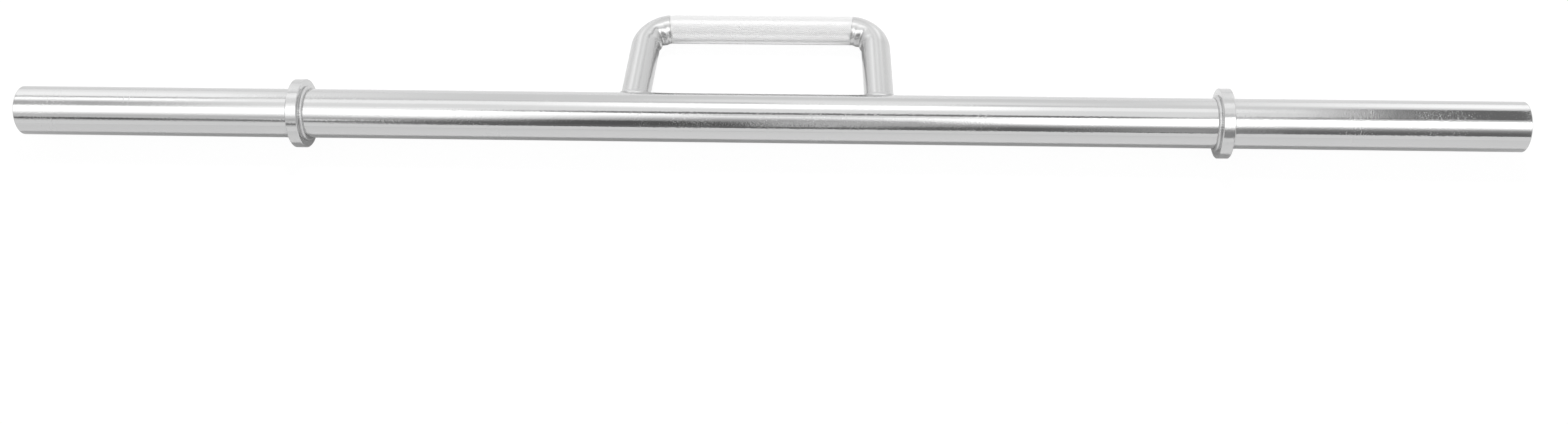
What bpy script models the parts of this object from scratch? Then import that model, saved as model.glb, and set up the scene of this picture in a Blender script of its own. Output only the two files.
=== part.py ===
# Carrying bar for weight plates: one straight steel tube whose two ends are the
# plate sleeves, a stop ring welded on near each end, and a cold-bent handle tube
# welded across the middle. It is modelled lying on the floor as it comes to rest,
# on its two stop rings and on the grip. +X runs along the bar, +Y points from the
# bar towards the grip, +Z is up. The origin is on the floor, under the centre.
import math

import bmesh
import bpy
from mathutils import Vector

# Main tube, in metres
TUBE_OD = 0.050
TUBE_WALL = 0.004
BAR_LENGTH = 1.520
TUBE_END_CHAMFER = 0.001

# Stop rings
SLEEVE_LENGTH = 0.287
RING_OD = 0.070
RING_WIDTH = 0.0118
RING_CHAMFER = 0.0007

# End plugs, pressed into the tube and ground flush
PLUG_THICKNESS = 0.010
PLUG_CHAMFER = 0.0006

# Handle: one bent tube, measured to its centre line
GRIP_OD = 0.030
GRIP_WALL = 0.004
HANDLE_HEIGHT = 0.120
GRIP_SPAN = 0.2385
FOOT_SPAN = 0.253
BEND_RADIUS = 0.028

# Knurled stretch of the grip, which the rolling of the knurl swells a little
KNURL_LENGTH = 0.192
KNURL_RAISE = 0.0002
KNURL_RUN_IN = 0.0006

# What the cold bend does to the tube: the inside creases, the outside flattens
CREASE_DEPTH = 0.0017
CREASE_WIDTH = 0.0016
FOLD_HEIGHT = 0.0009
FOLD_SPACING = 0.0042
BEND_FLATTENING = 0.0005

# Weld beads: a round bead laid in the corner, a little off both surfaces
RING_BEAD_RADIUS = 0.0023
RING_BEAD_STANDOFF = 0.0008
FOOT_BEAD_RADIUS = 0.0022
FOOT_BEAD_STANDOFF = 0.0005
RIPPLE_PITCH = 0.0032
RIPPLE_DEPTH = 0.0003

# Clearance between pieces that touch
SEAT_GAP = 0.0003

# Fineness of the round shapes, and the angle past which an edge is shaded sharp
SHARP_ANGLE = math.radians(32)
TUBE_SIDES = 72
PLUG_SIDES = 48
GRIP_SIDES = 40
BORE_SIDES = 24
BEND_STEPS = 18
BEAD_SIDES = 10

# Sizes worked out from those above
TUBE_RADIUS = TUBE_OD / 2
TUBE_BORE_RADIUS = TUBE_RADIUS - TUBE_WALL
RING_RADIUS = RING_OD / 2
RING_OUTER_FACE = BAR_LENGTH / 2 - SLEEVE_LENGTH
RING_INNER_FACE = RING_OUTER_FACE - RING_WIDTH
GRIP_RADIUS = GRIP_OD / 2
KNURL_RADIUS = GRIP_RADIUS + KNURL_RAISE
CLEAR_TUBE_RADIUS = TUBE_RADIUS + SEAT_GAP
CLEAR_GRIP_RADIUS = GRIP_RADIUS + SEAT_GAP
LEG_LEAN = math.atan2((FOOT_SPAN - GRIP_SPAN) / 2, HANDLE_HEIGHT)
BEND_ANGLE = math.pi / 2 - LEG_LEAN
BEND_TANGENT = BEND_RADIUS * math.tan(BEND_ANGLE / 2)
BEND_LENGTH = BEND_RADIUS * BEND_ANGLE
GRIP_STRAIGHT = GRIP_SPAN / 2 - BEND_TANGENT
LEG_LENGTH = HANDLE_HEIGHT / math.cos(LEG_LEAN) - BEND_TANGENT
HANDLE_DROP = math.asin((RING_RADIUS - KNURL_RADIUS) / HANDLE_HEIGHT)

# The bar's axis lies over this line, so that the origin is under the centre
REAR_REACH = HANDLE_HEIGHT * math.cos(HANDLE_DROP) + KNURL_RADIUS
AXIS_Y = (RING_RADIUS - REAR_REACH) / 2

CHROME = (0.80, 0.81, 0.82, 1.0)
GROUND_CHROME = (0.72, 0.73, 0.74, 1.0)
KNURLED_CHROME = (0.86, 0.87, 0.88, 1.0)
WELD_CHROME = (0.76, 0.77, 0.78, 1.0)


def clear_objects():
    for item in list(bpy.data.objects):
        bpy.data.objects.remove(item, do_unlink=True)


def new_collection(name):
    collection = bpy.data.collections.new(name)
    bpy.context.scene.collection.children.link(collection)
    return collection


def metal(name, colour, roughness):
    material = bpy.data.materials.new(name)
    material.use_nodes = True
    shader = material.node_tree.nodes["Principled BSDF"]
    shader.inputs["Base Color"].default_value = colour
    shader.inputs["Metallic"].default_value = 1.0
    shader.inputs["Roughness"].default_value = roughness
    return material


def add_empty(name, parent, location, tilt=0.0):
    empty = bpy.data.objects.new(name, None)
    empty.parent = parent
    empty.location = location
    empty.rotation_euler = (-tilt, 0.0, 0.0)
    parts.objects.link(empty)
    return empty


def mark_cutter(item):
    for holder in list(item.users_collection):
        holder.objects.unlink(item)
    cutters.objects.link(item)
    item.hide_render = True
    item.display_type = "WIRE"
    return item


def subtract(item, *tools):
    for tool in tools:
        cut = item.modifiers.new("cut " + tool.name, "BOOLEAN")
        cut.operation = "DIFFERENCE"
        cut.solver = "EXACT"
        cut.object = tool


def settle(item):
    """Apply an object's modifiers, and shade smooth between its sharp edges."""
    bpy.context.view_layer.update()
    seen = item.evaluated_get(bpy.context.evaluated_depsgraph_get())
    mesh = bpy.data.meshes.new_from_object(seen)
    mesh.name = item.name
    mesh.shade_smooth()
    mesh.set_sharp_from_angle(angle=SHARP_ANGLE)
    item.modifiers.clear()
    item.data = mesh
    return item


def turned(name, profile, sides, material, closed=False, along=0.0, flip=False):
    """A profile of (radius, height) points, turned about the bar's axis.

    The profile runs down its outer side from the top, which points to +X, or to
    -X where flip is set. along is the place of height zero on the bar.
    """
    mesh = bpy.data.meshes.new(name)
    count = len(profile)
    edges = [(i, i + 1) for i in range(count - 1)]
    if closed:
        edges.append((count - 1, 0))
    mesh.from_pydata([(radius, 0.0, height) for radius, height in profile], edges, [])
    mesh.materials.append(material)
    item = bpy.data.objects.new(name, mesh)
    item.parent = bar_axis
    item.location = (-along if flip else along, 0.0, 0.0)
    item.rotation_euler = (0.0, math.radians(-90 if flip else 90), 0.0)
    parts.objects.link(item)
    screw = item.modifiers.new("turn", "SCREW")
    screw.axis = "Z"
    screw.steps = sides
    screw.render_steps = sides
    screw.use_merge_vertices = True
    screw.merge_threshold = 0.00001
    return settle(item)


def swept(name, points, radius, sides, material, parent, swell=None, closed=False):
    """A round tube along a list of points, as a mesh. swell scales its radius."""
    curve = bpy.data.curves.new(name, "CURVE")
    curve.dimensions = "3D"
    curve.twist_mode = "MINIMUM" if closed else "Z_UP"
    curve.bevel_depth = radius
    curve.bevel_resolution = sides // 2 - 2
    curve.use_fill_caps = True
    spline = curve.splines.new("POLY")
    spline.points.add(len(points) - 1)
    for index, place in enumerate(points):
        spline.points[index].co = (*place, 1.0)
        spline.points[index].radius = swell[index] if swell else 1.0
    spline.use_cyclic_u = closed
    guide = bpy.data.objects.new(name + " guide", curve)
    guide.parent = parent
    parts.objects.link(guide)
    bpy.context.view_layer.update()

    seen = guide.evaluated_get(bpy.context.evaluated_depsgraph_get())
    mesh = bpy.data.meshes.new_from_object(seen)
    mesh.name = name
    joined = bmesh.new()
    joined.from_mesh(mesh)
    bmesh.ops.remove_doubles(joined, verts=joined.verts, dist=0.000001)
    bmesh.ops.recalc_face_normals(joined, faces=joined.faces)
    joined.to_mesh(mesh)
    joined.free()
    mesh.materials.clear()
    mesh.materials.append(material)
    item = bpy.data.objects.new(name, mesh)
    item.parent = parent
    item.matrix_world = guide.matrix_world
    parts.objects.link(item)
    bpy.data.objects.remove(guide, do_unlink=True)
    return item


def bend_centre():
    """Centre of the right-hand bend, in the handle's plane."""
    return Vector((GRIP_STRAIGHT, HANDLE_HEIGHT - BEND_RADIUS, 0.0))


def on_centre_line(travel):
    """The handle's centre line, travel metres from mid-grip, to the right if above 0."""
    side = math.copysign(1.0, travel)
    past_grip = abs(travel) - GRIP_STRAIGHT
    past_bend = past_grip - BEND_LENGTH
    if past_grip <= 0:
        return Vector((travel, HANDLE_HEIGHT, 0.0))
    if past_bend <= 0:
        angle = math.pi / 2 - past_grip / BEND_RADIUS
        place = bend_centre() + BEND_RADIUS * Vector((math.cos(angle), math.sin(angle), 0.0))
    else:
        down = LEG_LENGTH - past_bend
        place = Vector((FOOT_SPAN / 2 - down * math.sin(LEG_LEAN), down * math.cos(LEG_LEAN), 0.0))
    return Vector((side * place.x, place.y, 0.0))


def handle_stations(foot_overrun=0.0):
    """Distances from mid-grip where the handle's sections lie, left foot to right.

    The feet end on the bar's axis, or foot_overrun beyond it.
    """
    right = [KNURL_LENGTH / 2, KNURL_LENGTH / 2 + KNURL_RUN_IN]
    right += [GRIP_STRAIGHT + BEND_LENGTH * step / BEND_STEPS for step in range(BEND_STEPS + 1)]
    right.append(GRIP_STRAIGHT + BEND_LENGTH + LEG_LENGTH + foot_overrun)
    return sorted([-travel for travel in right] + right)


def handle_path(foot_overrun=0.0):
    return [on_centre_line(travel) for travel in handle_stations(foot_overrun)]


def knurl_swell():
    """How much thicker than the plain tube the handle is at each station."""
    raised = KNURL_RADIUS / GRIP_RADIUS
    return [raised if abs(travel) <= KNURL_LENGTH / 2 else 1.0 for travel in handle_stations()]


def press_bends(mesh):
    """Crease the inside and flatten the outside of both bends of the handle."""
    centre = bend_centre()
    inside_radius = BEND_RADIUS - GRIP_RADIUS
    for vertex in mesh.vertices:
        side = math.copysign(1.0, vertex.co.x)
        spoke = Vector((vertex.co.x * side - centre.x, vertex.co.y - centre.y))
        angle = math.atan2(spoke.y, spoke.x) - LEG_LEAN
        if not 0.0 < angle < BEND_ANGLE:
            continue
        across = spoke.length - BEND_RADIUS
        around = math.atan2(vertex.co.z, across)
        inner = max(0.0, -math.cos(around)) ** 1.5
        outer = max(0.0, math.cos(around))
        travel = (angle - BEND_ANGLE / 2) * inside_radius
        push = -CREASE_DEPTH * hump(travel, CREASE_WIDTH)
        push += FOLD_HEIGHT * hump(travel - FOLD_SPACING, CREASE_WIDTH)
        push += FOLD_HEIGHT * hump(travel + FOLD_SPACING, CREASE_WIDTH)
        push *= inner
        push -= BEND_FLATTENING * outer * math.sin(math.pi * angle / BEND_ANGLE) ** 2
        scale = (spoke.length + push * math.cos(around)) / spoke.length
        vertex.co.x = side * (centre.x + spoke.x * scale)
        vertex.co.y = centre.y + spoke.y * scale
        vertex.co.z += push * math.sin(around)


def hump(distance, width):
    return math.exp(-((distance / width) ** 2))


def ripples(length):
    """Two points to a ripple, high and low in turn, along a bead of that length."""
    count = max(8, round(length / RIPPLE_PITCH))
    return [RIPPLE_DEPTH * (0.5 if step % 2 else -0.5) for step in range(2 * count)]


def ring_bead(name, side):
    """Fillet weld in the corner between a ring's inner face and the tube."""
    radius = TUBE_RADIUS + RING_BEAD_STANDOFF
    place = side * (RING_INNER_FACE - RING_BEAD_STANDOFF)
    waves = ripples(2 * math.pi * radius)
    turns = [2 * math.pi * step / len(waves) for step in range(len(waves))]
    path = [Vector((place, radius * math.cos(turn), radius * math.sin(turn))) for turn in turns]
    swell = [1 + wave / RING_BEAD_RADIUS for wave in waves]
    bead = swept(name, path, RING_BEAD_RADIUS, BEAD_SIDES, weld_chrome, bar_axis, swell, True)
    subtract(bead, tube_clearance, ring_clearances[side])
    return settle(bead)


def saddle(turn, side):
    """A point of the line on which a foot's bead lies on the tube."""
    tube = TUBE_RADIUS + FOOT_BEAD_STANDOFF
    leg = GRIP_RADIUS + FOOT_BEAD_STANDOFF
    z = leg * math.sin(turn)
    y = math.sqrt(tube * tube - z * z)
    up = (y - leg * math.cos(turn) * math.sin(LEG_LEAN)) / math.cos(LEG_LEAN)
    x = FOOT_SPAN / 2 - up * math.sin(LEG_LEAN) + leg * math.cos(turn) * math.cos(LEG_LEAN)
    return Vector((side * x, y, z))


def foot_bead(name, side):
    """Fillet weld round a foot of the handle, along the saddle that it sits on."""
    waves = ripples(2 * math.pi * (GRIP_RADIUS + FOOT_BEAD_STANDOFF))
    turns = [2 * math.pi * step / len(waves) for step in range(len(waves))]
    path = [saddle(turn, side) for turn in turns]
    swell = [1 + wave / FOOT_BEAD_RADIUS for wave in waves]
    bead = swept(name, path, FOOT_BEAD_RADIUS, BEAD_SIDES, weld_chrome, handle_plane, swell, True)
    subtract(bead, tube_clearance, handle_clearance)
    return settle(bead)


def main_tube():
    end = BAR_LENGTH / 2
    shoulder = TUBE_RADIUS - TUBE_END_CHAMFER
    profile = [
        (shoulder, end),
        (TUBE_RADIUS, end - TUBE_END_CHAMFER),
        (TUBE_RADIUS, -end + TUBE_END_CHAMFER),
        (shoulder, -end),
        (TUBE_BORE_RADIUS, -end),
        (TUBE_BORE_RADIUS, end),
    ]
    return turned("main_tube", profile, TUBE_SIDES, chrome, closed=True)


def stop_ring(name, side):
    """A chamfered collar whose outer face is the plates' stop."""
    bore = CLEAR_TUBE_RADIUS
    rim = RING_RADIUS - RING_CHAMFER
    profile = [
        (rim, 0.0),
        (RING_RADIUS, -RING_CHAMFER),
        (RING_RADIUS, -RING_WIDTH + RING_CHAMFER),
        (rim, -RING_WIDTH),
        (bore, -RING_WIDTH),
        (bore, 0.0),
    ]
    return turned(name, profile, TUBE_SIDES, ground_chrome, True, RING_OUTER_FACE, side < 0)


def end_plug(name, side):
    radius = TUBE_BORE_RADIUS - SEAT_GAP
    profile = [
        (0.0, 0.0),
        (radius - PLUG_CHAMFER, 0.0),
        (radius, -PLUG_CHAMFER),
        (radius, -PLUG_THICKNESS),
        (0.0, -PLUG_THICKNESS),
    ]
    return turned(name, profile, PLUG_SIDES, ground_chrome, False, BAR_LENGTH / 2, side < 0)


def handle():
    path = handle_path()
    swell = knurl_swell()
    item = swept("handle", path, GRIP_RADIUS, GRIP_SIDES, knurled_chrome, handle_plane, swell)
    press_bends(item.data)
    subtract(item, handle_bore, tube_clearance)
    return settle(item)


def cutter_disc(name, radius, length, sides, along=0.0, flip=False):
    """A plain round cutter on the bar's axis, from its top face down."""
    profile = [(0.0, 0.0), (radius, 0.0), (radius, -length), (0.0, -length)]
    return mark_cutter(turned(name, profile, sides, chrome, False, along, flip))


clear_objects()
parts = new_collection("plate carrying bar")
cutters = new_collection("cutters")
chrome = metal("polished chrome", CHROME, 0.08)
ground_chrome = metal("turned chrome", GROUND_CHROME, 0.12)
knurled_chrome = metal("handle chrome", KNURLED_CHROME, 0.22)
weld_chrome = metal("weld chrome", WELD_CHROME, 0.18)

bar_axis = add_empty("bar axis", None, (0.0, AXIS_Y, RING_RADIUS))
handle_plane = add_empty("handle plane", bar_axis, (0.0, 0.0, 0.0), HANDLE_DROP)
bpy.context.view_layer.update()

main_tube()
end_plug("left_end_plug", -1)
end_plug("right_end_plug", 1)
stop_ring("left_stop_ring", -1)
stop_ring("right_stop_ring", 1)

tube_clearance = cutter_disc(
    "tube clearance", CLEAR_TUBE_RADIUS, BAR_LENGTH, TUBE_SIDES, BAR_LENGTH / 2
)
ring_clearances = {}
for ring_side in (-1, 1):
    ring_clearances[ring_side] = cutter_disc(
        "ring clearance " + ("right" if ring_side > 0 else "left"),
        RING_RADIUS + SEAT_GAP,
        RING_WIDTH + SEAT_GAP,
        TUBE_SIDES,
        RING_OUTER_FACE,
        ring_side < 0,
    )
handle_bore = mark_cutter(
    swept("handle bore", handle_path(GRIP_RADIUS), GRIP_RADIUS - GRIP_WALL, BORE_SIDES,
          chrome, handle_plane)
)
handle_clearance = mark_cutter(
    swept("handle clearance", handle_path(GRIP_RADIUS), CLEAR_GRIP_RADIUS, GRIP_SIDES,
          chrome, handle_plane)
)

ring_bead("left_ring_weld", -1)
ring_bead("right_ring_weld", 1)
handle()
foot_bead("left_foot_weld", -1)
foot_bead("right_foot_weld", 1)
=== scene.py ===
# Looks of a chromed carrying bar for weight plates: its finishes, its fine shapes, the studio and the camera
import math

import bmesh
import bpy
from mathutils import Matrix, Vector


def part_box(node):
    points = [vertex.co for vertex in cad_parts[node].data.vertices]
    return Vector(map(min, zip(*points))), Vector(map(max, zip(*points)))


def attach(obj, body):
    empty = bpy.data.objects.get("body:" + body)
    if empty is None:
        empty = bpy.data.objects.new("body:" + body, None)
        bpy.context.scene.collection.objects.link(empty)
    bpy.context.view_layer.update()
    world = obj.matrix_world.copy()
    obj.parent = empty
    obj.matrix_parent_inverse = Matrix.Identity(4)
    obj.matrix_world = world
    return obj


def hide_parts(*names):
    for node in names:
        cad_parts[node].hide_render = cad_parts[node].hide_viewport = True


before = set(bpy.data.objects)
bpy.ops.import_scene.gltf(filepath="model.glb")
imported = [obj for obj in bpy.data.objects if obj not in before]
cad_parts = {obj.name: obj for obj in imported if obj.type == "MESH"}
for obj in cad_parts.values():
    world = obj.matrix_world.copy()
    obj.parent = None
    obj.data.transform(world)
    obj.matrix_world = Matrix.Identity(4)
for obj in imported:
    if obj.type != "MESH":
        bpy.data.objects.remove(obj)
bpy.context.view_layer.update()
print("frame loaded with", len(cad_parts), "nodes")


class Wire:  # one output of a node, so that node maths reads as plain expressions
    def __init__(self, bench, socket):
        self.bench = bench
        self.socket = socket

    def out(self, key):  # another output of the same node
        return Wire(self.bench, self.socket.node.outputs[key])

    def maths(self, operation, *others):
        return self.bench.add("ShaderNodeMath", (self, *others), operation=operation)

    def swapped(self, operation, first):
        return self.bench.add("ShaderNodeMath", (first, self), operation=operation)

    def __add__(self, other):
        return self.maths("ADD", other)

    def __sub__(self, other):
        return self.maths("SUBTRACT", other)

    def __mul__(self, other):
        return self.maths("MULTIPLY", other)

    def __truediv__(self, other):
        return self.maths("DIVIDE", other)

    def __pow__(self, other):
        return self.maths("POWER", other)

    def __gt__(self, other):
        return self.maths("GREATER_THAN", other)

    def __lt__(self, other):
        return self.maths("LESS_THAN", other)

    def __neg__(self):
        return self.maths("MULTIPLY", -1.0)

    def __abs__(self):
        return self.maths("ABSOLUTE")

    def __radd__(self, other):
        return self.swapped("ADD", other)

    def __rsub__(self, other):
        return self.swapped("SUBTRACT", other)

    def __rmul__(self, other):
        return self.swapped("MULTIPLY", other)


class Bench:  # where the nodes of one tree are put together
    def __init__(self, tree):
        self.tree = tree

    def add(self, kind, values=(), **settings):
        node = self.tree.nodes.new(kind)
        for name, value in settings.items():
            setattr(node, name, value)
        pairs = values.items() if isinstance(values, dict) else enumerate(values)
        for key, value in pairs:
            self.feed(node.inputs[key], value)
        shown = [socket for socket in node.outputs if socket.enabled]
        return Wire(self, shown[0]) if shown else node

    def feed(self, socket, value):
        if isinstance(value, Wire):
            self.tree.links.new(value.socket, socket)
        else:
            socket.default_value = value

    def split(self, vector):
        parts = self.add("ShaderNodeSeparateXYZ", (vector,))
        return parts.out("X"), parts.out("Y"), parts.out("Z")

    def join(self, x, y, z):
        return self.add("ShaderNodeCombineXYZ", (x, y, z))

    def vector(self, operation, *values):
        return self.add("ShaderNodeVectorMath", values, operation=operation)

    def smooth(self, value, start, end, low=0.0, high=1.0):  # a soft step from low at start to high at end
        values = (value, start, end, low, high)
        return self.add("ShaderNodeMapRange", values, interpolation_type="SMOOTHSTEP")

    def mixColours(self, factor, first, second):
        values = {0: factor, 6: first, 7: second}
        return self.add("ShaderNodeMix", values, data_type="RGBA").out(2)

    def noise(self, place, scale, detail):
        return self.add("ShaderNodeTexNoise", {"Vector": place, "Scale": scale, "Detail": detail})

    def capture(self, geometry, value, name):  # keeps a field's value while the geometry changes
        node = self.tree.nodes.new("GeometryNodeCaptureAttribute")
        node.capture_items.new("FLOAT", name)
        self.feed(node.inputs[0], geometry)
        self.feed(node.inputs[1], value)
        return Wire(self, node.outputs[0]), Wire(self, node.outputs[1])


def shapeTree(name, sizes):  # an empty geometry tree with a named input for each size
    tree = bpy.data.node_groups.new(name, "GeometryNodeTree")
    tree.interface.new_socket("Geometry", in_out="INPUT", socket_type="NodeSocketGeometry")
    for label, value in sizes.items():
        kind = "NodeSocketInt" if isinstance(value, int) else "NodeSocketFloat"
        tree.interface.new_socket(label, in_out="INPUT", socket_type=kind).default_value = value
    tree.interface.new_socket("Geometry", in_out="OUTPUT", socket_type="NodeSocketGeometry")
    bench = Bench(tree)
    source = bench.add("NodeGroupInput")
    return bench, source, {label: source.out(label) for label in sizes}


def closeTree(bench, geometry, material):
    whole = bench.add("GeometryNodeRealizeInstances", (geometry,))
    painted = bench.add("GeometryNodeSetMaterial", {"Geometry": whole, "Material": material})
    bench.add("NodeGroupOutput", (painted,))


def linkNew(name, mesh):
    item = bpy.data.objects.new(name, mesh)
    bpy.context.scene.collection.objects.link(item)
    return item


def bakeShape(name, bench, sizes, start=None):  # turns a geometry tree's result into a plain mesh
    item = linkNew(name, start or bpy.data.meshes.new(name))
    modifier = item.modifiers.new("shape", "NODES")
    modifier.node_group = bench.tree
    for socket in bench.tree.interface.items_tree:
        if socket.name in sizes:
            modifier[socket.identifier] = sizes[socket.name]
    bpy.context.view_layer.update()
    seen = item.evaluated_get(bpy.context.evaluated_depsgraph_get())
    mesh = bpy.data.meshes.new_from_object(seen)
    item.modifiers.clear()
    item.data = mesh
    mesh.name = name
    return item


def settle(item, place, sharpAngle=40.0):  # faces out, shaded, and with its place in its mesh
    mesh = item.data
    work = bmesh.new()
    work.from_mesh(mesh)
    bmesh.ops.remove_doubles(work, verts=work.verts, dist=0.000001)
    bmesh.ops.recalc_face_normals(work, faces=work.faces)
    work.to_mesh(mesh)
    work.free()
    mesh.transform(place)
    mesh.shade_smooth()
    mesh.set_sharp_from_angle(angle=math.radians(sharpAngle))
    return item


def hand(item, slot, *nodes):  # the piece rides on the bar and stands for its plain solids
    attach(item, "root")
    if nodes:
        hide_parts(*nodes)
    print("made", item.name, "with", len(item.data.polygons), "faces")


# The bar's own measures, read from the frame
tubeLow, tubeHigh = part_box("main_tube")
ringLow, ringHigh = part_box("right_stop_ring")
plugLow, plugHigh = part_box("right_end_plug")
barRadius = (tubeHigh.z - tubeLow.z) / 2
barEnd = tubeHigh.x
ringRadius = (ringHigh.z - ringLow.z) / 2
barAxis = Matrix.Translation((0.0, (tubeLow.y + tubeHigh.y) / 2, (tubeLow.z + tubeHigh.z) / 2))


# Finishes

markLimits = {  # the noise values at which each kind of mark starts, and at which it is full
    "dust": (0.52, 0.80),
    "patch": (0.40, 0.60),
    "speck": (0.64, 0.86),
    "speckPatch": (0.46, 0.58),
    "scuff": (0.60, 0.68),
    "haze": (0.45, 0.75),
}
patchPeel = (0.5, 1.6)  # share of the orange peel outside and inside its patches
scuffWidth = 90.0  # how fine the scuffs are round the bar


def chrome(name, look):
    material = bpy.data.materials.new(name)
    material.use_nodes = True
    material.node_tree.nodes.clear()
    n = Bench(material.node_tree)
    place = n.add("ShaderNodeTexCoord").out("Object")
    x, y, z = n.split(place)
    grain = n.join(x * look["stretch"], y, z)
    cloud = n.noise(place, look["cloudScale"], 3.0)
    smear = n.noise(grain, look["smearScale"], 2.0)
    dust = n.smooth(n.noise(place, look["dustScale"], 2.0), *markLimits["dust"])
    patches = n.smooth(cloud, *markLimits["patch"], *patchPeel)
    peel = n.noise(grain, look["peelScale"], 2.0) * patches
    specks = n.smooth(n.noise(place, look["speckScale"], 0.0), *markLimits["speck"])
    specks = specks * n.smooth(cloud, *markLimits["speckPatch"])
    scuffs = n.noise(n.join(x * look["scuffFineness"], y * scuffWidth, z * scuffWidth), 1.0, 1.0)
    scuffs = n.smooth(scuffs, *markLimits["scuff"])
    scuffs = scuffs * n.smooth(n.noise(place, look["scuffScale"], 1.0), *markLimits["scuff"])
    wave = n.noise(grain, look["waveScale"], 1.0)
    colour = n.mixColours(cloud, look["shade"], look["colour"])
    haze = n.smooth(cloud * 0.5 + smear * 0.5, *markLimits["haze"])
    rough = look["roughness"] + look["smudge"] * haze + look["dust"] * dust + look["scuff"] * scuffs
    height = peel * look["peelHeight"] + wave * look["waveHeight"] + specks * look["speckHeight"]
    if look.get("turning"):
        spoke = n.join(0.0, y - barAxis.translation.y, z - barAxis.translation.z)
        fromAxis = n.vector("LENGTH", spoke).out("Value")
        rings = (fromAxis * (2 * math.pi / look["turningPitch"])).maths("SINE")
        height = height + rings * look["turning"]
    bump = n.add("ShaderNodeBump", {"Strength": 1.0, "Distance": 1.0, "Height": height})
    values = {"Base Color": colour, "Metallic": 1.0, "Roughness": rough, "Normal": bump}
    shader = n.add("ShaderNodeBsdfPrincipled", values)
    n.add("ShaderNodeOutputMaterial", (shader,))
    return material


tubeLook = {
    "colour": (0.595, 0.595, 0.595, 1.0),
    "shade": (0.570, 0.572, 0.573, 1.0),
    "roughness": 0.025,
    "smudge": 0.025,
    "dust": 0.14,
    "stretch": 0.75,
    "cloudScale": 14.0,
    "smearScale": 160.0,
    "dustScale": 800.0,
    "peelScale": 850.0,
    "peelHeight": 0.000034,
    "waveScale": 120.0,
    "waveHeight": 0.000014,
    "speckScale": 900.0,
    "speckHeight": 0.00003,
    "scuff": 0.25,
    "scuffScale": 16.0,
    "scuffFineness": 900.0,
}
tubeChrome = chrome("tube chrome", tubeLook)
ringLook = {"roughness": 0.06, "turning": 0.000001, "turningPitch": 0.0004}
ringChrome = chrome("ring chrome", {**tubeLook, **ringLook})
plugLook = {"roughness": 0.09, "turning": 0.000002, "turningPitch": 0.0005}
plugChrome = chrome("plug chrome", {**tubeLook, **plugLook})
handleLook = {
    "roughness": 0.24,
    "dust": 0.03,
    "scuff": 0.0,
    "stretch": 1.0,
    "peelHeight": 0.00002,
    "speckHeight": 0.0,
}
handleChrome = chrome("handle chrome", {**tubeLook, **handleLook})
weldLook = {
    "roughness": 0.31,
    "dust": 0.05,
    "scuff": 0.0,
    "stretch": 1.0,
    "peelHeight": 0.00003,
    "speckHeight": 0.0,
}
weldChrome = chrome("weld chrome", {**tubeLook, **weldLook})
# The knurl's colour is painted lighter than the chrome's own. This painted sheen stands in for the bright
# reflections its facets catch; its roughness and bumps are real.
knurlLookPaintedBright = {
    "colour": (0.83, 0.83, 0.83, 1.0),
    "shade": (0.79, 0.79, 0.79, 1.0),
    "roughness": 0.28,
    "stretch": 1.0,
    "peelScale": 900.0,
    "peelHeight": 0.00006,
    "scuff": 0.0,
    "speckHeight": 0.0,
}
knurlChromePaintedBright = chrome("knurl chrome painted bright", {**tubeLook, **knurlLookPaintedBright})


# Turned pieces: tube, stop rings and end plugs

def roundedProfile(corners, steps=4, hold=0.00006):  # rounds the corners, with a holding point each side
    points = []
    for index, (along, radius, fillet) in enumerate(corners):
        here = Vector((along, radius))
        before = Vector(corners[index - 1][:2]) - here
        after = Vector(corners[(index + 1) % len(corners)][:2]) - here
        if not fillet:
            points.append(here)
            continue
        before.normalize()
        after.normalize()
        half = before.angle(after) / 2
        reach = fillet / math.tan(half)
        centre = here + (before + after).normalized() * (fillet / math.sin(half))
        first = here + before * reach
        last = here + after * reach
        points.append(first + before * hold)
        for step in range(steps + 1):
            share = step / steps
            spoke = ((first - centre) * (1 - share) + (last - centre) * share).normalized()
            points.append(centre + spoke * fillet)
        points.append(last + after * hold)
    return points


onAxis = 0.0000001  # points nearer to the axis than this lie on it


def turnedPiece(name, corners, material, sides=256, splits=0):
    points = roundedProfile(corners)
    work = bmesh.new()
    rows = []
    for turn in range(sides):
        angle = 2 * math.pi * turn / sides
        rows.append([work.verts.new((p.x, p.y * math.cos(angle), p.y * math.sin(angle))) for p in points])
    for turn in range(sides):
        row, other = rows[turn], rows[(turn + 1) % sides]
        for index in range(len(points)):
            step = (index + 1) % len(points)
            if max(points[index].y, points[step].y) < onAxis:
                continue
            work.faces.new((row[index], row[step], other[step], other[index]))
    for cut in range(1, splits):
        where = -barEnd + 2 * barEnd * cut / splits
        parts = work.verts[:] + work.edges[:] + work.faces[:]
        bmesh.ops.bisect_plane(work, geom=parts, plane_co=(where, 0.0, 0.0), plane_no=(1.0, 0.0, 0.0))
    mesh = bpy.data.meshes.new(name)
    work.to_mesh(mesh)
    work.free()
    mesh.materials.append(material)
    return settle(linkNew(name, mesh), barAxis)


tubeSizes = {"wall": 0.004, "endRound": 0.0009, "boreRound": 0.0003, "splits": 40}


def makeTube():
    bore = barRadius - tubeSizes["wall"]
    corners = [
        (-barEnd, barRadius, tubeSizes["endRound"]),
        (-barEnd, bore, tubeSizes["boreRound"]),
        (barEnd, bore, tubeSizes["boreRound"]),
        (barEnd, barRadius, tubeSizes["endRound"]),
    ]
    tube = turnedPiece("chromed_tube", corners, tubeChrome, splits=tubeSizes["splits"])
    hand(tube, "tube_chrome", "main_tube")


ringSizes = {"chamfer": 0.0007, "edgeRound": 0.00025, "seat": 0.0002}


def makeRings():
    inner, outer = ringLow.x, ringHigh.x
    bore = barRadius + ringSizes["seat"]
    chamfer, edge = ringSizes["chamfer"], ringSizes["edgeRound"]
    for side, label in ((-1, "left"), (1, "right")):
        corners = [
            (side * inner, bore, 0),
            (side * inner, ringRadius - chamfer, edge),
            (side * (inner + chamfer), ringRadius, edge),
            (side * (outer - chamfer), ringRadius, edge),
            (side * outer, ringRadius - chamfer, edge),
            (side * outer, bore, 0),
        ]
        ring = turnedPiece(label + "_ring", corners, ringChrome)
        hand(ring, "ring_chrome", label + "_stop_ring")


plugSizes = {"edgeRound": 0.0005, "backRound": 0.0003, "sides": 160}


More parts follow.
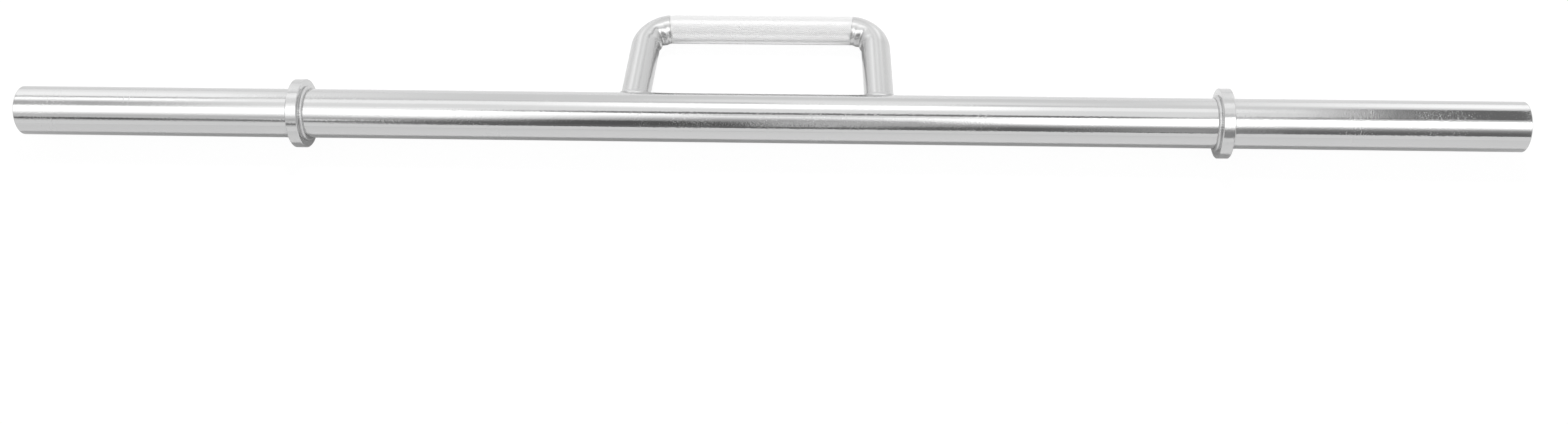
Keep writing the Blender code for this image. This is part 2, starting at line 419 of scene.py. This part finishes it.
def makePlugs():
    radius = (plugHigh.z - plugLow.z) / 2
    for side, label in ((-1, "left"), (1, "right")):
        corners = [
            (side * plugHigh.x, 0.0, 0),
            (side * plugHigh.x, radius, plugSizes["edgeRound"]),
            (side * plugLow.x, radius, plugSizes["backRound"]),
            (side * plugLow.x, 0.0, 0),
        ]
        plug = turnedPiece(label + "_plug", corners, plugChrome, sides=plugSizes["sides"])
        hand(plug, "plug_chrome", label + "_end_plug")


makeTube()
makeRings()
makePlugs()


# Handle: one cold-bent tube, with its knurl and its coped feet

handleSizes = {
    "Height": 0.120,
    "Grip Half": 0.11925,
    "Foot Half": 0.1265,
    "Bend Radius": 0.028,
    "Tube Radius": 0.015,
    "Bar Radius": barRadius,
    "Sink": 0.0006,
    "Bend Steps": 150,
    "Sides": 112,
    "Crease Depth": 0.0017,
    "Crease Width": 0.0016,
    "Fold Height": 0.0009,
    "Fold Spacing": 0.0042,
    "Flattening": 0.0005,
    "Wrinkle": 0.0005,
    "Under Knurl": 0.0001,
}
knurlSizes = {
    "Length": 0.192,
    "Core Radius": 0.01482,
    "Depth": 0.00038,
    "Top Share": 0.34,
    "Wall": 0.0012,
    "Around": 46,
    "Along": 96,
}
legLean = math.atan2(handleSizes["Foot Half"] - handleSizes["Grip Half"], handleSizes["Height"])
bendAngle = math.pi / 2 - legLean
bendCorner = handleSizes["Bend Radius"] * math.tan(bendAngle / 2)  # from the bend's start to its corner
gripStraight = handleSizes["Grip Half"] - bendCorner
legLength = handleSizes["Height"] / math.cos(legLean) - bendCorner
knurlRadius = knurlSizes["Core Radius"] + knurlSizes["Depth"]
knurlStart = bendAngle - (knurlSizes["Length"] / 2 - gripStraight) / handleSizes["Bend Radius"]
handleDrop = math.asin((ringRadius - knurlRadius) / handleSizes["Height"])
handlePlane = barAxis @ Matrix.Rotation(-handleDrop, 4, "X")


rumpleLook = {"fineness": 420.0, "width": 0.006, "fade": 1.5}  # the uneven metal round each crease


def bell(distance, width):
    return ((distance / width) ** 2.0 * -1.0).maths("EXPONENT")


def bentTubeShape(material):
    n, source, given = shapeTree("bent tube", handleSizes)
    path = n.add("GeometryNodeMeshToCurve", (source,))
    values = {"Curve": path, "Count": given["Bend Steps"], "Radius": given["Bend Radius"]}
    path = n.add("GeometryNodeFilletCurve", values, mode="POLY")
    values = {"Resolution": given["Sides"], "Radius": given["Tube Radius"]}
    profile = n.add("GeometryNodeCurvePrimitiveCircle", values)
    tube = n.add("GeometryNodeCurveToMesh", {"Curve": path, "Profile Curve": profile, "Fill Caps": True})

    place = n.add("GeometryNodeInputPosition")
    x, y, z = n.split(place)
    side = x.maths("SIGN")
    cx = abs(x) - gripStraight
    cy = y - (given["Height"] - given["Bend Radius"])
    spoke = (cx * cx + cy * cy).maths("SQRT")
    angle = cy.maths("ARCTAN2", cx) - legLean
    across = spoke - given["Bend Radius"]
    around = z.maths("ARCTAN2", across)
    cosine = around.maths("COSINE")
    inner = (-cosine).maths("MAXIMUM", 0.0) ** rumpleLook["fade"]
    outer = cosine.maths("MAXIMUM", 0.0)
    travel = (angle - bendAngle / 2) * (given["Bend Radius"] - given["Tube Radius"])
    width = given["Crease Width"]
    folds = bell(travel - given["Fold Spacing"], width) + bell(travel + given["Fold Spacing"], width)
    crease = given["Fold Height"] * folds - given["Crease Depth"] * bell(travel, width)
    rumple = (n.noise(place, rumpleLook["fineness"], 1.0) - 0.5) * given["Wrinkle"]
    rumple = rumple * bell(travel, rumpleLook["width"])
    arc = (angle * (math.pi / bendAngle)).maths("SINE")
    push = (crease + rumple) * inner - given["Flattening"] * outer * arc * arc
    push = push * (angle > 0.0) * (angle < bendAngle)
    recess = given["Tube Radius"] - knurlSizes["Core Radius"] + given["Under Knurl"]
    push = push - (angle > knurlStart) * recess
    flat = push * cosine / spoke
    offset = n.join(side * cx * flat, cy * flat, push * around.maths("SINE"))
    tube = n.add("GeometryNodeSetPosition", {"Geometry": tube, "Offset": offset})

    px = side * x - given["Foot Half"]
    up = y * math.cos(legLean) - px * math.sin(legLean)
    wide = px * math.cos(legLean) + y * math.sin(legLean)
    seat = given["Bar Radius"] - given["Sink"]
    meet = ((seat * seat - z * z).maths("SQRT") - wide * math.sin(legLean)) / math.cos(legLean)
    rise = (1 - up / legLength) * meet
    lift = n.join(side * rise * -math.sin(legLean), rise * math.cos(legLean), 0.0)
    onLeg = (up < legLength) * (abs(x) > gripStraight)
    tube = n.add("GeometryNodeSetPosition", {"Geometry": tube, "Selection": onLeg, "Offset": lift})
    closeTree(n, tube, material)
    return n


knurlMerge = 0.00001  # points of the knurl that are nearer than this become one
knurlSharpAngle = 25.0


def knurlShape(material):
    n, source, given = shapeTree("diamond knurl", knurlSizes)
    cells = given["Around"] + given["Along"]
    side = cells * math.sqrt(0.5)
    values = {"Size X": side, "Size Y": side, "Vertices X": cells + 1, "Vertices Y": cells + 1}
    sheet = n.add("GeometryNodeMeshGrid", values)
    values = {"Geometry": sheet, "Rotation": (0.0, 0.0, math.pi / 4)}
    sheet = n.add("GeometryNodeTransform", values)
    u, v, w = n.split(n.add("GeometryNodeInputPosition"))
    halfAround = given["Around"] * 0.5
    quarter = 0.25  # half the step between neighbouring diamonds' centres
    outside = (u < -halfAround - quarter).maths("MAXIMUM", u > halfAround - quarter)
    outside = outside.maths("MAXIMUM", abs(v) > given["Along"] * 0.5 - quarter)
    values = {"Geometry": sheet, "Selection": outside}
    sheet = n.add("GeometryNodeDeleteGeometry", values, domain="FACE")

    turn = u / given["Around"] * (2 * math.pi)
    along = v / given["Along"] * given["Length"]
    core = given["Core Radius"]
    bendRadius = handleSizes["Bend Radius"]
    past = (abs(along) - gripStraight).maths("MAXIMUM", 0.0) / bendRadius
    reach = bendRadius + core * turn.maths("COSINE")
    straight = abs(along).maths("MINIMUM", gripStraight)
    x = along.maths("SIGN") * (straight + reach * past.maths("SINE"))
    y = reach * past.maths("COSINE") + (handleSizes["Height"] - bendRadius)
    z = core * turn.maths("SINE")
    sleeve = n.add("GeometryNodeSetPosition", {"Geometry": sheet, "Position": n.join(x, y, z)})
    sleeve = n.add("GeometryNodeMergeByDistance", {"Geometry": sleeve, "Distance": knurlMerge})
    inward = n.add("GeometryNodeFlipFaces", (sleeve,))
    values = {"Mesh": sleeve, "Offset Scale": given["Depth"], "Individual": True}
    raised = n.add("GeometryNodeExtrudeMesh", values, mode="FACES")
    values = {"Geometry": raised, "Selection": raised.out("Top"), "Scale": given["Top Share"]}
    raised = n.add("GeometryNodeScaleElements", values, domain="FACE")
    values = {"Mesh": inward, "Offset Scale": given["Wall"], "Individual": False}
    lining = n.add("GeometryNodeExtrudeMesh", values, mode="FACES")
    both = n.add("GeometryNodeJoinGeometry")
    n.tree.links.new(lining.socket, both.socket.node.inputs[0])
    n.tree.links.new(raised.socket, both.socket.node.inputs[0])
    closed = n.add("GeometryNodeMergeByDistance", {"Geometry": both, "Distance": knurlMerge})
    closeTree(n, closed, material)
    return n


def makeHandle():
    half, foot = handleSizes["Grip Half"], handleSizes["Foot Half"]
    height = handleSizes["Height"]
    points = [(-foot, 0.0, 0.0), (-half, height, 0.0), (half, height, 0.0), (foot, 0.0, 0.0)]
    line = bpy.data.meshes.new("handle line")
    line.from_pydata(points, [(0, 1), (1, 2), (2, 3)], [])
    tube = bakeShape("bent_handle", bentTubeShape(handleChrome), handleSizes, line)
    settle(tube, handlePlane)
    hand(tube, "handle_chrome", "handle")

    knurl = bakeShape("grip_knurl", knurlShape(knurlChromePaintedBright), knurlSizes)
    settle(knurl, handlePlane, knurlSharpAngle)
    hand(knurl, "handle_chrome")


makeHandle()


# Welds: a bead laid in each corner, in overlapping ripples

beadSizes = {
    "Bead Radius": 0.0023,
    "Standoff": 0.0008,
    "Ripple Pitch": 0.0026,
    "Ripple Depth": 0.00017,
    "Crescent": 0.55,
    "Unevenness": 0.0004,
    "Steps": 900,
    "Sides": 28,
}


beadLump = 240.0  # how fine the beads' unevenness is
valleySharpness = 5.0  # how narrow the valleys between the ripples are


def layBead(n, path, length, given, outward):  # a ripply round bead along a closed path
    path, along = n.capture(path, length, "along")
    values = {"Resolution": given["Sides"], "Radius": given["Bead Radius"]}
    profile = n.add("GeometryNodeCurvePrimitiveCircle", values)
    bead = n.add("GeometryNodeCurveToMesh", {"Curve": path, "Profile Curve": profile})
    normal = n.add("GeometryNodeInputNormal")
    facing = n.vector("DOT_PRODUCT", normal, outward).out("Value")
    phase = along / given["Ripple Pitch"] + given["Crescent"] * facing
    valley = abs(phase.maths("FRACT") - 0.5) * 2.0
    lump = n.noise(n.add("GeometryNodeInputPosition"), beadLump, 1.0) - 0.5
    dip = (valley ** valleySharpness) * given["Ripple Depth"]
    height = lump * given["Unevenness"] - dip
    offset = n.vector("SCALE", normal)
    n.feed(offset.socket.node.inputs["Scale"], height)
    return n.add("GeometryNodeSetPosition", {"Geometry": bead, "Offset": offset})


def ringBeadShape(material, sizes):
    n, source, given = shapeTree("ring bead", sizes)
    radius = given["Standoff"] + barRadius
    path = n.add("GeometryNodeCurvePrimitiveCircle", {"Resolution": given["Steps"], "Radius": radius})
    length = n.add("GeometryNodeSplineParameter").out("Length")
    x, y, z = n.split(n.add("GeometryNodeInputPosition"))
    radial = n.vector("NORMALIZE", n.join(x, y, 0.0))
    outward = n.vector("NORMALIZE", n.vector("ADD", radial, (0.0, 0.0, 1.0)))
    closeTree(n, layBead(n, path, length, given, outward), material)
    return n


def footBeadShape(material, sizes):
    n, source, given = shapeTree("foot bead", sizes)
    leg = given["Standoff"] + handleSizes["Tube Radius"]
    tube = given["Standoff"] + barRadius
    path = n.add("GeometryNodeCurvePrimitiveCircle", {"Resolution": given["Steps"], "Radius": leg})
    wide, z, nought = n.split(n.add("GeometryNodeInputPosition"))
    y = (tube * tube - z * z).maths("SQRT")
    up = (y - wide * math.sin(legLean)) / math.cos(legLean)
    x = wide * math.cos(legLean) - up * math.sin(legLean) + handleSizes["Foot Half"]
    saddle = n.add("GeometryNodeSetPosition", {"Geometry": path, "Position": n.join(x, y, z)})
    length = n.add("GeometryNodeSplineParameter").out("Length")
    px, py, pz = n.split(n.add("GeometryNodeInputPosition"))
    fromLeg = n.vector("NORMALIZE", n.join(px - handleSizes["Foot Half"], 0.0, pz))
    fromTube = n.vector("NORMALIZE", n.join(0.0, py, pz))
    outward = n.vector("NORMALIZE", n.vector("ADD", fromLeg, fromTube))
    closeTree(n, layBead(n, saddle, length, given, outward), material)
    return n


footBeadSizes = {
    **beadSizes,
    "Bead Radius": 0.0022,
    "Standoff": 0.0005,
    "Ripple Depth": 0.00014,
    "Steps": 640,
}


def makeWelds():
    ringBead = ringBeadShape(weldChrome, beadSizes)
    for side, label in ((-1, "left"), (1, "right")):
        bead = bakeShape(label + "_ring_bead", ringBead, beadSizes)
        corner = side * (ringLow.x - beadSizes["Standoff"])
        turn = Matrix.Rotation(-side * math.pi / 2, 4, "Y")
        settle(bead, barAxis @ Matrix.Translation((corner, 0.0, 0.0)) @ turn)
        hand(bead, "weld_chrome", label + "_ring_weld")
    footBead = footBeadShape(weldChrome, footBeadSizes)
    for side, label in ((-1, "left"), (1, "right")):
        bead = bakeShape(label + "_foot_bead", footBead, footBeadSizes)
        turn = Matrix.Rotation(math.pi, 4, "Y") if side < 0 else Matrix.Identity(4)
        settle(bead, handlePlane @ turn)
        hand(bead, "weld_chrome", label + "_foot_weld")


makeWelds()


# Spatter: tiny drops of weld metal that stuck to the legs by the feet

spatterSizes = {
    "Drops": 11,
    "Smallest": 0.00022,
    "Largest": 0.00050,
    "Reach": 0.014,
    "Clear": 0.0026,
    "Seed": 4,
}


def spatterShape(material):
    n, source, given = shapeTree("spatter", spatterSizes)
    drops = n.add("GeometryNodePoints", {"Count": given["Drops"]})

    def chance(low, high, turn):  # a fixed random number for each drop
        values = {"Min": low, "Max": high, "Seed": given["Seed"] + turn}
        node = n.tree.nodes.new("FunctionNodeRandomValue")
        for key, value in values.items():
            socket = next(s for s in node.inputs if s.name == key and s.enabled)
            n.feed(socket, value)
        return Wire(n, next(s for s in node.outputs if s.enabled))

    around = chance(0.0, 2 * math.pi, 0)
    share = chance(0.0, 1.0, 1)
    above = given["Clear"] + given["Reach"] * share * share
    wide = around.maths("COSINE") * handleSizes["Tube Radius"]
    z = around.maths("SINE") * handleSizes["Tube Radius"]
    y = (barRadius * barRadius - z * z).maths("SQRT")
    up = (y - wide * math.sin(legLean)) / math.cos(legLean) + above
    x = wide * math.cos(legLean) - up * math.sin(legLean) + handleSizes["Foot Half"]
    y = wide * math.sin(legLean) + up * math.cos(legLean)
    drops = n.add("GeometryNodeSetPosition", {"Geometry": drops, "Position": n.join(x, y, z)})
    ball = n.add("GeometryNodeMeshIcoSphere", {"Radius": 1.0, "Subdivisions": 3})
    size = chance(given["Smallest"], given["Largest"], 2)
    values = {"Points": drops, "Instance": ball, "Scale": n.join(size, size, size)}
    closeTree(n, n.add("GeometryNodeInstanceOnPoints", values), material)
    return n


def makeSpatter():
    shape = spatterShape(weldChrome)
    for side, label in ((-1, "left"), (1, "right")):
        sizes = {**spatterSizes, "Seed": spatterSizes["Seed"] + side}
        drops = bakeShape(label + "_foot_spatter", shape, sizes)
        turn = Matrix.Rotation(math.pi, 4, "Y") if side < 0 else Matrix.Identity(4)
        settle(drops, handlePlane @ turn)
        hand(drops, "weld_chrome")


makeSpatter()


# Studio: a pale floor under a white room with long light banks

roomLook = {
    "level": 1.0,
    "fill": 0.38,
    "fadeFrom": 0.62,
    "fadeTo": 0.86,
    "sides": 0.75,
    "sidesFrom": 0.78,
    "sidesTo": 0.9,
}
# Each strip: where it starts and is full, where it wanes and ends, both in degrees over the front
# horizon about the bar; where it starts, is full, wanes and ends along the bar; and its brightness
strips = {
    "ceiling": ((86, 90), (112, 150), (-9, -8, 8, 9), 1.18),
    "left wall": ((138, 152), (154, 215), (-0.8, -0.5, -0.44, -0.2), 1.36),
    "left glow": ((133, 140), (150, 168), (-0.56, -0.5, -0.37, -0.34), 1.5),
    "right wall": ((140, 157), (160, 205), (0.12, 0.37, 0.38, 0.5), 1.66),
    "back glow": ((137, 144), (148, 165), (-0.17, -0.08, 0.06, 0.2), 1.25),
    "back bank ends": ((109, 116), (128, 132), (-9, -8, 0.2, 0.28), 1.42),
    "back bank": ((99, 116), (124, 133), (-0.25, -0.06, 0.02, 0.14), 2.1),
    "back line": ((132, 133), (137, 139), (-0.385, -0.37, 0.1, 0.2), 0.95),
    "middle glow": ((126, 131), (140, 146), (-0.07, -0.045, 0.045, 0.065), 1.3),
    "left bank": ((112, 116), (124, 127), (-0.56, -0.5, -0.395, -0.38), 1.8),
    "left thin": ((127, 128.5), (131.5, 133.5), (-0.56, -0.5, -0.39, -0.375), 0.7),
    "left top": ((78, 80), (82, 98), (-9, -8, -0.28, -0.2), 1.65),
    "left grey": ((84, 90), (104, 110), (-9, -8, -0.455, -0.355), 0.66),
    "front bank": ((38, 56), (79, 81.5), (-9, -8, 8, 9), 2.3),
    "bank haze": ((66, 72), (77, 79), (-0.13, -0.1, 0.07, 0.11), 1.3),
    "camera side": ((11, 14), (45, 87), (-0.36, -0.1, -0.04, 0.14), 0.45),
    "dark front": ((11.5, 14), (26, 50), (-0.34, -0.28, 0.215, 0.25), 0.19),
    "right soft": ((14, 17), (30, 42), (0.11, 0.19, 0.225, 0.26), 0.45),
    "dark patch": ((20, 25), (39, 48), (-0.235, -0.175, -0.1, -0.076), 0.14),
    "left front": ((12.5, 15), (34, 74), (-0.56, -0.5, -0.325, -0.27), 0.78),
    "left corner": ((18.5, 20.5), (28, 31), (-0.56, -0.5, -0.43, -0.37), 0.17),
    "left line": ((18, 20), (26, 30), (-0.43, -0.38, -0.29, -0.27), 0.3),
    "left edge": ((33.5, 36), (38.5, 41.5), (-0.37, -0.33, -0.29, -0.26), 0.58),
    "left block": ((24, 26.5), (31, 33.5), (-0.355, -0.34, -0.31, -0.29), 1.0),
    "right front": ((12.5, 15.5), (24, 66), (0.21, 0.255, 0.385, 0.43), 0.2),
    "pale patch": ((19, 24), (44, 53), (-0.08, -0.058, -0.03, 0.03), 0.72),
    "pale haze": ((24, 34), (48, 60), (-0.03, 0.02, 0.025, 0.07), 0.64),
    "bank gap": ((75.5, 80), (85, 88.5), (-0.27, -0.13, 0.13, 0.22), 0.3),
    "end line": ((85, 88), (91, 94), (0.2, 0.25, 0.3, 0.34), 0.55),
    "dark end": ((84, 92), (134, 143), (0.245, 0.335, 0.385, 0.42), 0.22),
}
floorLook = {
    "size": 60.0,
    "colour": (0.90, 0.90, 0.90, 1.0),
    "toCamera": 0.9,
    "toMirror": 0.1,
    "toMirrorFar": 0.92,
    "near": 0.5,
    "far": 1.5,
    "white": 1.06,
}
lampLook = {"place": (0.14, 1.08, 2.17), "along": 0.40, "across": 0.35, "power": 45.5}


def makeWorld():
    world = bpy.data.worlds.new("white room")
    bpy.context.scene.world = world
    world.use_nodes = True
    world.node_tree.nodes.clear()
    n = Bench(world.node_tree)
    x, y, z = n.split(n.add("ShaderNodeTexCoord").out("Generated"))
    angle = z.maths("ARCTAN2", -y) * (180 / math.pi)
    level = roomLook["level"]
    for rise, fall, (left, leftFull, rightFull, right), brightness in strips.values():
        mask = n.smooth(angle, *rise) * n.smooth(angle, *fall, 1.0, 0.0)
        mask = mask * n.smooth(x, left, leftFull) * n.smooth(x, rightFull, right, 1.0, 0.0)
        mask = mask * n.smooth(abs(x), roomLook["fadeFrom"], roomLook["fadeTo"], 1.0, 0.0)
        level = level + mask * (brightness - level)
    beside = n.smooth(abs(x), roomLook["sidesFrom"], roomLook["sidesTo"])
    level = level + beside * (roomLook["sides"] - level)
    path = n.add("ShaderNodeLightPath")
    level = level * (1.0 - path.out("Is Diffuse Ray") * (1.0 - roomLook["fill"]))
    level = level + path.out("Is Camera Ray") * (1.0 - level)
    sky = n.add("ShaderNodeBackground", {"Color": (1.0, 1.0, 1.0, 1.0), "Strength": level})
    n.add("ShaderNodeOutputWorld", (sky,))


def makeFloor():
    half = floorLook["size"] / 2
    mesh = bpy.data.meshes.new("studio floor")
    corners = [(-half, -half, 0.0), (half, -half, 0.0), (half, half, 0.0), (-half, half, 0.0)]
    mesh.from_pydata(corners, [], [(0, 1, 2, 3)])
    floor = linkNew("studio_floor", mesh)
    material = bpy.data.materials.new("studio floor")
    material.use_nodes = True
    material.node_tree.nodes.clear()
    n = Bench(material.node_tree)
    matt = n.add("ShaderNodeBsdfDiffuse", {"Color": floorLook["colour"]})
    white = n.add("ShaderNodeEmission", {"Strength": floorLook["white"]})
    path = n.add("ShaderNodeLightPath")
    mirrored = path.out("Is Glossy Ray").maths("MAXIMUM", path.out("Is Transmission Ray"))
    away = n.vector("LENGTH", n.add("ShaderNodeTexCoord").out("Object")).out("Value")
    shares = (floorLook["toMirror"], floorLook["toMirrorFar"])
    toMirror = n.smooth(away, floorLook["near"], floorLook["far"], *shares)
    share = path.out("Is Camera Ray") * floorLook["toCamera"] + mirrored * toMirror
    shown = n.add("ShaderNodeMixShader", (share, matt, white))
    n.add("ShaderNodeOutputMaterial", (shown,))
    mesh.materials.append(material)


def makeLamp():  # the soft lamp behind and above the bar, which throws its shadow to the front
    data = bpy.data.lights.new("key softbox", "AREA")
    data.shape = "RECTANGLE"
    data.size = lampLook["along"]
    data.size_y = lampLook["across"]
    data.energy = lampLook["power"]
    lamp = bpy.data.objects.new("key softbox", data)
    bpy.context.scene.collection.objects.link(lamp)
    place = Vector(lampLook["place"])
    aim = (barAxis.translation - place).to_track_quat("-Z", "Y")
    lamp.matrix_world = Matrix.LocRotScale(place, aim, None)
    lamp.visible_glossy = False  # the metal mirrors the room alone


cameraLook = {
    "place": (0.115028, -0.845923, 1.439361),
    "heading": -6.785,
    "dip": 63.631,
    "roll": -5.262,
    "lens": 36.621,
    "sensor": 36.0,
}


def makeCamera():
    data = bpy.data.cameras.new("camera")
    data.sensor_fit = "HORIZONTAL"
    data.sensor_width = cameraLook["sensor"]
    data.lens = cameraLook["lens"]
    camera = bpy.data.objects.new("camera", data)
    bpy.context.scene.collection.objects.link(camera)
    turn = Matrix.Rotation(math.radians(-cameraLook["heading"]), 4, "Z")
    turn = turn @ Matrix.Rotation(math.radians(90 - cameraLook["dip"]), 4, "X")
    turn = turn @ Matrix.Rotation(math.radians(cameraLook["roll"]), 4, "Z")
    camera.matrix_world = Matrix.Translation(cameraLook["place"]) @ turn
    bpy.context.scene.camera = camera


makeWorld()
makeFloor()
makeLamp()
makeCamera()
bpy.context.scene.view_settings.view_transform = "Standard"
